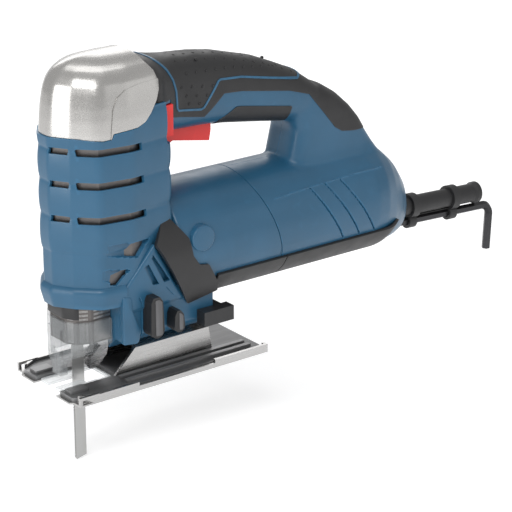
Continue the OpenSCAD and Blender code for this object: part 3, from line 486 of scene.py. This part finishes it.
def soften(obj, width, segments=2, angle=35):
    bevel = obj.modifiers.new("bevel", "BEVEL")
    bevel.width = width * MM
    bevel.segments = segments
    bevel.limit_method = "ANGLE"
    bevel.angle_limit = math.radians(angle)
    bevel.use_clamp_overlap = True
    return obj


def smooth_shading(obj, angle=40):
    mesh = obj.data
    mesh.polygons.foreach_set("use_smooth", [True] * len(mesh.polygons))
    mesh.set_sharp_from_angle(angle=math.radians(angle))


def finish_piece(obj, body, material, slot, *replaced, angle=40):
    """Materials, body and replaced nodes of one finished piece. The slot argument is not used."""
    bake(obj)
    smooth_shading(obj, angle)
    obj.data.materials.clear()
    obj.data.materials.append(MATERIALS[material])
    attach(obj, body)
    if replaced:
        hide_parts(*replaced)
    return obj


def subtract(obj, cutter):
    cut = obj.modifiers.new("cut", "BOOLEAN")
    cut.operation = "DIFFERENCE"
    cut.solver = "EXACT"
    cut.object = cutter
    bake(obj)
    bpy.data.objects.remove(cutter)
    return obj


# ---- main sizes, in millimetres ----------------------------------------------
def lo(node):
    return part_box(node)[0] / MM


def hi(node):
    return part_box(node)[1] / MM


barrel_z = (lo("armature_shaft").z + hi("armature_shaft").z) / 2
barrel_r = hi("motor_housing").y
head_front = lo("head_cover").x + 2.4
barrel_front = lo("motor_housing").x
barrel_top = barrel_z + barrel_r
head_plan = mirrored([
    (head_front, -5),
    (head_front + 7.3, -16),
    (head_front + 19.3, -28),
    (-25, -31),
    (4.8, -27),
])
head_corners = [3, 4, 9, 20, 5, 5, 20, 9, 4, 3]


# ---- head --------------------------------------------------------------------
vents = [109, 130, 150]
slot_half = 2.2
band_bulge = 1.35

# The joint between head and cap: level in front, then rising over the rear corner.
cap_edge = [
    (-80, 158.2), (-58, 158.4), (-50, 157.6), (-43, 156.8), (-38.2, 157.2), (-36.8, 160.4),
    (-21, 161.8), (-15.5, 164), (-11, 168.6), (-6.6, 175), (-4.2, 180.5), (-3.4, 186),
    (-4.4, 191), (-8, 196.5), (-10, 204), (-80, 204),
]


def head_swell(z):
    """How far the head stands out at height z: bulging bands that meet at the vents."""
    stations = [88, vents[0] + 1, vents[1] + 1, vents[2] + 1, 170]
    for low, high in zip(stations, stations[1:]):
        if low <= z <= high:
            return band_bulge * (1 - (2 * (z - low) / (high - low) - 1) ** 2) ** 0.6
    return 0.0


def head_levels():
    levels = [56 + 0.8 * k for k in range(int((172 - 56) / 0.8) + 1)]
    for z in vents:
        levels += [z - slot_half, z + slot_half]
    return sorted(set(round(z, 3) for z in levels))


pocket_depth = 3.6
pockets = [
    [(-12.5, 93.0), (-43, 94.5), (-43, 86.0), (-22.0, 81.6)],
    [(-25.0, 76.4), (-46, 79.5), (-46, 71.5), (-38.4, 68.6)],
]


def build_head_cover():
    rings = []
    for z in head_levels():
        moved = inset(rounded(head_plan, head_corners), -head_swell(z))
        rings.append(ring_at(moved, z, 300))
    head = loft("head_cover_skin", rings, ends=False)
    press_pockets(head)
    for z in vents:
        slot_rear = -18 + (150 - z) * 0.06
        side = rectangle(-56, z - slot_half, slot_rear, z + slot_half)
        trim(head, rounded(side, 0.8, 3), keep=False, where=lambda c: abs(c.y) > 17 and c.x < 4)
        front = rectangle(-15.5, z - slot_half + 0.6, -5.5, z + slot_half)
        for outline in (front, [(-y, h) for y, h in reversed(front)]):
            trim(head, outline, keep=False, axis="x", where=lambda c: c.x < -54)
    for corners in pockets:
        tip = inset(corners, 1.3)[0]
        steps = [(0, 0), (-11, -1.2), (-12.5, -7.0), (-8.0, -8.2)]
        window = [(tip[0] + dx, tip[1] + dz) for dx, dz in steps]
        trim(head, window, keep=False, where=lambda c: abs(c.y) > 20)
    # The rear face is cut away where the trigger and the lock bar sit.
    trim(head, rectangle(1.5, 146.5, 12, 175), keep=False)
    trim(head, inset(cap_edge, -0.2), keep=False)
    thicken(head, 2.2, 0.45, 3)
    finish_piece(head, "housing", "blue", "blue_plastic", "head_cover")


def press_pockets(head):
    """Hollows with crisp edges that deepen towards their rear corner."""
    bm = bmesh.new()
    bm.from_mesh(head.data)
    for corners in pockets:
        for outline in (corners, inset(corners, 1.1)):
            for i in range(len(outline)):
                cut_line(bm, outline[i - 1], outline[i], "y")
    for corners in pockets:
        floor = inset(corners, 1.05)
        front_x = corners[2][0]
        for vert in bm.verts:
            x, y, z = vert.co / MM
            if abs(y) > 20 and inside(x, z, floor):
                depth = pocket_depth * max(0.1, min(1, (x - front_x) / 16))
                vert.co.y -= math.copysign(depth * MM, y)
    bm.to_mesh(head.data)
    bm.free()


def build_collar():
    """The rolled lower edge of the head."""
    rings = []
    profile = [
        (54, 1.6), (54, -0.4), (57.2, -1.2), (60.6, -2.1), (62, -2.4), (64.5, -2.4), (66, -1.8),
        (67.2, -0.4), (68, 1.2),
    ]
    plan = rounded(head_plan, head_corners)
    for z, shift in profile:
        rings.append(ring_at(inset(plan, shift), z, 260))
    collar = loft("collar_skin", rings, ends=False)
    trim(collar, rectangle(-90, 50, -31.5, 70))
    thicken(collar, 1.6, 0.3)
    finish_piece(collar, "housing", "blue", "blue_plastic")


# Height of each ring of the cap, and how far it is drawn in.
cap_rise = [
    (150, 0), (160, 0.2), (168, 0.7), (176, 1.6), (183, 2.9), (188, 4.6), (192, 7.2), (195, 10.2),
    (197.2, 13.8), (198.8, 17.8), (199.8, 22), (200.4, 27), (200.6, 30.5),
]


def build_cap():
    plan = mirrored([
        (head_front, -5), (head_front + 7.3, -16.2), (head_front + 19.3, -28.2), (-25, -31),
        (-5, -30), (24, -22),
    ])
    outline = resampled(rounded(plan, [8, 10, 14, 25, 15, 4, 4, 15, 25, 14, 10, 8]), 240)
    # Only what lies in front of the hinge is drawn back; the whole ring narrows.
    hinge = -10
    half_w = 31
    rings = []
    for z, shift in cap_rise:
        ring = []
        for x, y in outline:
            front = min(0, x - hinge) * (1 - shift / (hinge - head_front))
            ring.append((hinge + front + max(0, x - hinge), y * (1 - shift / half_w), z))
        rings.append(ring)
    cap = clay("cap_skin", [loft("cap_form", rings)], 1.0, 12)
    trim(cap, cap_edge)
    side = copy_of(cap, "cap_panel_skin")
    panel = [
        (-39.2, 150), (-37.6, 165), (-36.2, 174), (-33, 180.4), (-27, 184.2), (-18, 186), (-2, 186.8),
        (0, 150),
    ]
    trim(side, panel, where=lambda c: abs(c.y) > 18)
    lift(side, 0.95)
    thicken(side, 1.0, 0.3, 3)
    finish_piece(side, "housing", "cap", "cap_metal")
    lift(cap, 0.35)
    thicken(cap, 1.8, 0.4, 3)
    finish_piece(cap, "housing", "cap", "cap_metal", "head_cap")


# ---- barrel, rear housing and handle -----------------------------------------
def section_x(x, half_w, z0, z1, power):
    ring = superellipse(half_w, (z1 - z0) / 2, power)
    return [(x, u, v + (z0 + z1) / 2) for u, v in ring]


def section_z(z, x0, x1, half_w, power):
    ring = superellipse((x1 - x0) / 2, half_w, power)
    return [(u + (x0 + x1) / 2, v, z) for u, v in ring]


def build_shell():
    """The barrel, the handle's bar and its rear leg as one soft form that the shells are cut from."""
    low = barrel_z - barrel_r
    tail = [
        (barrel_front, 36.4, low, barrel_top, 2), (150, 36.4, low, barrel_top, 2),
        (160, 36.2, low, 113.2, 2.02), (170, 34, low, 111.5, 2.1), (180, 29.5, 40.6, 106, 2.2),
        (189, 24, 41.6, 98, 2.3), (197, 18.5, 44, 87, 2.4), (202, 13.5, 47.5, 76, 2.4),
        (205, 8.5, 52, 67, 2.3),
    ]
    barrel = loft("barrel", [section_x(*s) for s in tail])
    bar = [
        (-4.7, 27.6, 160, 194.4, 3), (0, 26, 155, 194.2, 3), (3.5, 23.2, 152, 193.8, 3),
        (8, 21.0, 149, 193.2, 3), (13, 19.2, 146.6, 192.4, 3), (20, 18, 146.2, 191.6, 2.9),
        (40, 18, 145.6, 190.2, 2.8), (56, 18, 144.4, 187.8, 2.7),
        (70, 18, 142.3, 184, 2.7), (85, 18, 140, 180, 2.7), (100, 18, 137.6, 173.8, 2.7),
        (112, 17.8, 136, 168.4, 2.7), (124, 17, 136, 160, 2.6), (132, 14, 138, 152, 2.4),
    ]
    handle = loft("bar", [section_x(*s) for s in bar])
    leg = [
        (94, 107, 188, 23, 5), (101, 105, 182, 21.5, 5), (108, 104.6, 176, 19.6, 5),
        (114, 104.6, 171.5, 18.4, 5), (122, 106.5, 166, 18, 5), (131, 108.4, 160.5, 18, 4.5),
        (140, 106.5, 153, 18, 4), (149, 101, 143.8, 17.4, 3),
        (156, 96, 133, 15, 2.6),
    ]
    upright = loft("leg", [section_z(*s) for s in leg])
    return clay("shell", [barrel, handle, upright], 1.25, 9)


seam_top = 66


def seam_x(z):
    return seam_top + (barrel_top - z) / 3


def seam_line(shift):
    """The curved seam between the front and rear motor shells, bowed to the rear."""
    top, drop, parts = 120, 85, 8
    line = []
    for k in range(parts + 1):
        z = top - drop * k / parts
        bow = 2.2 * math.sin(math.pi * (top - z) / drop)
        line.append((seam_x(z) + shift + bow - 2, z))
    return line


boss_x, boss_z, boss_r = 20.8, 86.6, 8.2


def build_motor_housing(shell):
    front = copy_of(shell, "motor_shell")
    trim(front, [(0, 35), (0, 120)] + seam_line(-0.3))
    angles = np.linspace(0, 2 * math.pi, 32, endpoint=False)
    circle = [(boss_x + boss_r * math.cos(a), boss_z + boss_r * math.sin(a)) for a in angles]
    bosses = [prism("bump", circle, "y", -37.4, -30), prism("bump_far", circle, "y", 30, 37.4)]
    corner = seam_x(58) - 3
    for sign in (-1, 1):
        step = [(44, 61.5), (corner, 61.5), (corner, 72)]
        groove(front, step, 0.7, 0.35, where=lambda c: c.y * sign > 20)
    thicken(front, 2.4, 0.5, 3)
    finish_piece(front, "housing", "blue", "blue_plastic", "motor_housing")
    for boss in bosses:
        soften(boss, 1.1, 3)
        finish_piece(boss, "housing", "blue", "blue_plastic")


grip_outline = [
    (-7, 169.4), (9.6, 170.6), (10.6, 159), (37.0, 154.0), (50.4, 166.4), (63.5, 165.6),
    (100, 159.4), (116.0, 154.3), (136.5, 129.4), (142.0, 126.0), (151, 124.6), (185, 122),
    (185, 215), (-30, 215), (-30, 169.4),
]
trim_line = [
    (2.0, 200), (4.4, 193), (9.0, 187.5), (12.6, 181), (14.6, 174), (15.3, 163.8), (16.6, 162),
    (33.6, 159.6), (35.6, 160.4), (46.2, 174.6), (48, 175.4), (63.5, 174.2), (108, 165.2),
    (112.6, 166.6), (116.4, 171.5), (119, 180),
]
finger_outline = rounded(
    [(50.0, 149.0), (60.0, 156.3), (64.2, 156.0), (102.4, 149.2), (101.4, 141), (103.8, 130), (49, 130)],
    1.2,
)


def build_handle(shell):
    rear = copy_of(shell, "rear_shell")
    around = [(seam_x(120) - 2 + 0.3, 121), (-20, 121), (-20, 220), (230, 220), (230, 30)]
    trim(rear, seam_line(0.3)[::-1] + around)
    trim(rear, inset(grip_outline, 1.8), keep=False)
    # The bar is open above the trigger and beside the lock bar.
    trim(rear, rectangle(3.4, 148.4, 10.6, 168.6), keep=False)
    trim(rear, rectangle(11, 120, 48.3, 149), keep=False, where=lambda c: abs(c.y) < 8.6)
    lines = [((107.5, 98.5), (132.6, 60.6)), ((119.8, 98.8), (145.7, 60.6)), ((132.0, 99.2), (158.2, 60.6))]
    for a, b in lines:
        groove(rear, [a, b], 1.7, 1.5, where=lambda c: abs(c.y) > 18)
    ridge = [(80, 97.2), (104, 98.6), (150, 100.0), (168, 99.4)]
    groove(rear, ridge, 2.6, -0.5, where=lambda c: abs(c.y) > 22)
    for name, side in (("housing_left", -1), ("housing_right", 1)):
        half = copy_of(rear, name + "_shell")
        bm = bmesh.new()
        bm.from_mesh(half.data)
        bmesh.ops.bisect_plane(
            bm,
            geom=bm.faces[:] + bm.edges[:] + bm.verts[:],
            plane_co=(0, side * 0.0001, 0),
            plane_no=(0, -side, 0),
            clear_outer=True,
        )
        bm.to_mesh(half.data)
        bm.free()
        thicken(half, 2.4, 0.4, 2)
        finish_piece(half, "housing", "blue", "blue_plastic", name)
    bpy.data.objects.remove(rear)


# Each dimple is cut by a small ball whose middle stands this far off the skin.
dimple_r, dimple_out = 1.15, 0.45


def dimples():
    """Places of the dimples on the side of the handle, in rows that follow its curve."""
    places = []
    for k in range(13):
        x = 24 + 7.2 * k
        places.append((x, 182.6 - 0.0013 * (x - 20) ** 2 - 0.5 * (x > 60)))
    lower_rows = ((19, 175.6, 7.7, 1.0, 4), (22.5, 169.8, 7.6, 1.1, 3), (24.5, 164.6, 7.6, 1.1, 2))
    for x, z, pitch, fall, count in lower_rows:
        places += [(x + pitch * k, z - fall * k) for k in range(count)]
    return places


def surface_point(obj, x, z, side):
    """Where a line along Y meets the skin on one side."""
    start = Vector((x * MM, side * 0.06, z * MM))
    hit, place, normal, _ = obj.ray_cast(start, Vector((0, -side, 0)))
    return (place / MM, normal) if hit else None


def surface_top(obj, x, y):
    """Where a line down along Z meets the skin."""
    hit, place, normal, _ = obj.ray_cast(Vector((x * MM, y * MM, 0.23)), Vector((0, 0, -1)))
    return (place / MM, normal) if hit else None


def build_grips(shell):
    grip = copy_of(shell, "grip_skin")
    trim(grip, grip_outline)
    lift(grip, 0.35)
    spots = []
    for side in (-1, 1):
        spots += [surface_point(grip, x, z, side) for x, z in dimples()]
    for k in range(13):
        for y in (-11.5, -4, 4, 11.5):
            spots.append(surface_top(grip, 20 + 7.2 * k + (3.6 if abs(y) < 8 else 0), y))
    seam = copy_of(shell, "grip_line_skin")
    trim(seam, band(trim_line, 1.25))
    lift(seam, 0.75)
    thicken(seam, 1.2, 0.25)
    finish_piece(seam, "housing", "blue", "blue_plastic")
    thicken(grip, 1.6, 0.45, 3)
    bake(grip)
    bits = []
    for spot in spots:
        if spot is None:
            continue
        place, normal = spot
        bm = bmesh.new()
        bmesh.ops.create_icosphere(bm, subdivisions=2, radius=dimple_r * MM)
        bmesh.ops.translate(bm, verts=bm.verts, vec=(place + normal * dimple_out) * MM)
        mesh = bpy.data.meshes.new("dimple")
        bm.to_mesh(mesh)
        bm.free()
        bits.append(add_object("dimple", mesh))
    subtract(grip, join("dimples", bits))
    finish_piece(grip, "housing", "rubber", "black_rubber", "top_grip")
    pad = copy_of(shell, "finger_skin")
    trim(pad, finger_outline)
    lift(pad, 0.5)
    thicken(pad, 1.8, 0.6, 3)
    finish_piece(pad, "housing", "rubber", "black_rubber", "finger_grip")


# ---- side panels, bumper and foot --------------------------------------------
panel_r = 37.1


def panel_wall(z):
    """How far out the side panel lies: round over the barrel, then bending in towards the foot."""
    if z > barrel_z:
        return math.sqrt(max(0, panel_r ** 2 - (z - barrel_z) ** 2))
    return panel_r - 5.6 * ((barrel_z - z) / 32) ** 2


panel_outline = rounded(
    [
        (-2.8, 107.4), (-5.2, 99.5), (-11.8, 88.9), (12.2, 45.2), (33.4, 49.4), (33.4, 54.3),
        (24.8, 69.2), (18.0, 70.4), (13.2, 77.2), (11.4, 88.2),
    ],
    [0.5, 4, 1, 1.5, 0.5, 0.5, 2, 2.5, 4, 3],
)


def build_side_panels():
    for name, side in (("side_panel_left", -1), ("side_panel_right", 1)):
        rings = []
        for x in (-16 + 52 * k / 60 for k in range(61)):
            rings.append([(x, side * panel_wall(z), z) for z in np.linspace(42, 110, 100)])
        skin = loft(name + "_skin", rings, close=False)
        if (skin.data.polygons[0].normal.y > 0) != (side > 0):
            skin.data.flip_normals()
        trim(skin, panel_outline)
        thicken(skin, 3.2, 0.7, 3)
        finish_piece(skin, "housing", "black", "black_plastic", name)


def build_bumper():
    x0, x1 = lo("bottom_bumper").x, hi("bottom_bumper").x
    joint = seam_x(52)
    strips = (("bumper_front", x0, joint, ["bottom_bumper"]), ("bumper_rear", joint + 0.6, x1, []))
    for name, a, b, replaced in strips:
        rings = []
        for k in range(41):
            x = a + (b - a) * k / 40
            taper = 1 - 0.16 * max(0, (x - 168) / 15) ** 2
            ring = []
            for angle in np.linspace(-62, 62, 90):
                t = math.radians(angle)
                step_line = 1.1 if 30 < abs(angle) < 33 else 0
                radius = barrel_r + 1.7 - step_line
                ring.append((x, radius * taper * math.sin(t), barrel_z - radius * taper * math.cos(t)))
            rings.append(ring)
        strip = loft(name + "_skin", rings, close=False)
        if strip.data.polygons[len(strip.data.polygons) // 2].normal.z > 0:
            strip.data.flip_normals()
        thicken(strip, 1.9, 0.5, 3)
        finish_piece(strip, "housing", "rubber", "black_rubber", *replaced)


foot_section = [
    (-30.5, 34.2), (-27.5, 30.2), (-21.5, 30.2), (-13.3, 22), (13.3, 22), (21.5, 30.2),
    (27.5, 30.2), (30.5, 34.2), (30.5, 57.6), (-30.5, 57.6),
]


def build_foot():
    x0, x1 = lo("foot_cover").x, hi("foot_cover").x
    parts = [prism("foot_body", foot_section, "x", x0, x1)]
    gusset = [(-34.2, 50), (9, 50), (-11.2, 88.2), (-34.4, 62.6)]
    for side in (-1, 1):
        parts.append(prism("gusset", gusset, "y", *sorted((side * 24, side * 31.9))))
    foot = clay("foot_skin", parts, 0.8, 5)
    windows = [
        [(-12.4, 82.2), (-13.5, 80.0), (-4.9, 63.2), (-0.4, 63.6)],
        [(-15.7, 77.0), (-18.8, 75.6), (-12.8, 63.2), (-8.4, 62.9)],
    ]
    for window in windows:
        trim(foot, window, keep=False, where=lambda c: abs(c.y) > 26)
    for side in (-1, 1):
        groove(foot, [(-3.5, 60), (1.5, 54)], 0.5, 0.3, where=lambda c: c.y * side > 26)
        groove(foot, [(-20.6, 29), (-20.6, 52), (-22.5, 57.5)], 1.6, 1.0, where=lambda c: c.y * side > 26)
    # Open in front, where the blade clamp and the roller arm are, and open at the top.
    openings = [
        ("x", rectangle(-14, 18, 14, 57), lambda c: c.x < x0 + 3),
        ("z", rectangle(x0 - 2, -14, -20, 14), lambda c: c.z < 26),
        ("z", rectangle(x0 + 4, -28, x1 - 3, 28), lambda c: c.z > 54),
    ]
    for axis, outline, where in openings:
        trim(foot, outline, keep=False, axis=axis, where=where)
    thicken(foot, 2.2, 0.4, 2)
    finish_piece(foot, "housing", "blue", "blue_plastic", "foot_cover")
    # The rear edge of the tabs leans clear of the lever's swing.
    tab_outline = rounded(
        [(x0 - 0.4, 30), (-23.4, 28.5), (-22.4, 37), (-27.4, 50), (-28.2, 59.4), (x0 - 0.4, 60.6)],
        [1, 3, 4, 4, 3, 1],
    )
    for side in (-1, 1):
        tab = prism("foot_tab", tab_outline, "y", *sorted((side * 28.5, side * 32.2)))
        soften(tab, 1.3, 3)
        finish_piece(tab, "housing", "blue", "blue_plastic")


def build_lever_faces():
    """Grey faces on the two levers, and a pointer plate thin enough for the levers to pass over."""
    face_out = 0.5
    margin = 1.5
    for node, body in (("orbital_lever", "orbital_control"), ("blower_lever", "blower_control")):
        low, high = lo(node), hi(node)
        left, right, top = low.x + 2.2 * margin, high.x - margin, high.z - margin
        bottom = low.z + margin
        corners = [(left, bottom), (right, bottom), (right, top - 2), (right - 2, top), (left, top)]
        face = prism(node + "_face", rounded(corners, 1.2), "y", low.y - face_out, low.y + 1)
        soften(face, 0.35, 3)
        finish_piece(face, body, "grey", "black_plastic")
    side = lo("foot_cover").y
    middle_x = (lo("orbital_lever").x + hi("blower_lever").x) / 2 + 0.5
    middle_z = 50.0
    half = 5.2
    plates = (
        ("pointer_plate", half, 0.2, "blue", "blue_plastic"),
        ("pointer_window", half - 2, 0.26, "black", "black_plastic"),
    )
    for name, size, out, look, slot in plates:
        diamond = [
            (middle_x, middle_z - size), (middle_x + size, middle_z),
            (middle_x, middle_z + size), (middle_x - size, middle_z),
        ]
        plate = prism(name, rounded(diamond, 0.8), "y", side - out, side + 1)
        soften(plate, 0.1, 2)
        finish_piece(plate, "housing", look, slot)


def build_nose():
    """The ribbed cast nose under the collar, and the blank plate on its front."""
    plan = rounded(mirrored([(-60, -8), (-56, -14.5), (-48, -18), (-31, -18)]), [4, 5, 6, 1, 1, 6, 5, 4])
    rings = []
    profile = [(30.2, 0.4), (31, 0)]
    for z in (44.5, 47.0, 49.5, 52.0):
        profile += [(z - 0.5, 0), (z - 0.3, 0.7), (z + 0.3, 0.7), (z + 0.5, 0)]
    profile += [(57, 0)]
    for z, shift in profile:
        rings.append(ring_at(inset(plan, shift), z, 160))
    nose = loft("nose_skin", rings, ends=False)
    trim(nose, rectangle(-80, 20, -34.6, 60))
    thicken(nose, 1.6, 0.2, 2)
    finish_piece(nose, "housing", "cast", "cast_aluminium")
    plate = loft("front_plate_skin", [ring_at(inset(plan, -0.5), z, 160) for z in (46.2, 53.6)], ends=False)
    trim(plate, rectangle(-80, 40, -53, 56), where=lambda c: abs(c.y) < 15.5)
    lift(plate, 1.0)
    thicken(plate, 1.2, 0.4, 3)
    finish_piece(plate, "housing", "black", "black_plastic", "front_plate")


def carry_over():
    """CAD nodes whose shape is right, with softened edges and a finished material."""
    looks = {
        "casting": ["gear_housing"],
        "cast": ["bearing_plate", "counterweight"],
        "bronze": ["plunger_bushes", "brush_holders", "clamp_pad"],
        "steel": [
            "gear_bearing", "motor_bearings", "housing_screws", "base_clamp_screw", "arm_pivot_pin",
            "crank_gear", "gear_shaft", "crank_pin", "armature_shaft", "pinion", "plunger_rod", "yoke",
            "blade_clamp", "roller_arm", "roller_axle", "guide_roller", "trigger_spring",
        ],
        "black": [
            "rear_bearing_bracket", "switch_body", "cord_clamp", "fan", "clamp_ring", "orbital_lever",
            "blower_lever", "base_lock_lever",
        ],
        "lamination": ["stator"],
        "black_oxide": ["carbon_brushes", "hex_key"],
        "board": ["electronics_module"],
        "rubber": ["cable_sleeve", "hex_key_clip"],
        "clear": ["blade_guard"],
        "copper": ["armature_core", "commutator"],
        "blade": ["blade"],
        "red": ["trigger", "lock_slide"],
        "dark_sheet": ["base_plate"],
        "zinc": ["slide_shoe", "saddle"],
        "insert": ["slot_insert"],
    }
    edge_widths = {
        1.0: ["trigger"],
        0.5: ["lock_slide", "base_plate"],
        0.9: ["orbital_lever"],
        0.8: ["blower_lever"],
        1.2: ["base_lock_lever"],
        0.4: ["blade_guard", "hex_key_clip", "blade_clamp", "roller_arm"],
        0.3: ["slide_shoe", "saddle", "clamp_ring"],
        0.2: ["slot_insert"],
    }
    for look, names in looks.items():
        for name in names:
            data = NODES[name].data
            data.materials.clear()
            data.materials.append(MATERIALS[look])
    for width, names in edge_widths.items():
        for name in names:
            soften(NODES[name], width, 3, 40)


def make_floor():
    size = 4.0  # half a side, in metres
    level = lo("blade").z - 0.5
    mesh = bpy.data.meshes.new("floor")
    corners = [(x, y, level * MM) for x, y in rectangle(-size, -size, size, size)]
    mesh.from_pydata(corners, [], [(0, 1, 2, 3)])
    floor = add_object("floor", mesh)
    s = Shader("pale_floor")
    body = s.blend(s.noise(3, 4), (0.9, 0.9, 0.905), (0.94, 0.94, 0.945))
    s.links.new(body, s.shader.inputs["Base Color"])
    s.links.new(s.span(s.noise(8, 3), 0.3, 0.7, 0.7, 0.85), s.shader.inputs["Roughness"])
    s.set(Emission_Color=(1, 1, 1, 1), Emission_Strength=0.32)
    floor.data.materials.append(s.material)


make_camera()
make_lights()
MATERIALS = make_materials()
make_floor()
build_head_cover()
build_collar()
build_cap()
shell = build_shell()
build_motor_housing(shell)
build_handle(shell)
build_grips(shell)
bpy.data.objects.remove(shell)
build_side_panels()
build_bumper()
build_foot()
build_lever_faces()
build_nose()
carry_over()
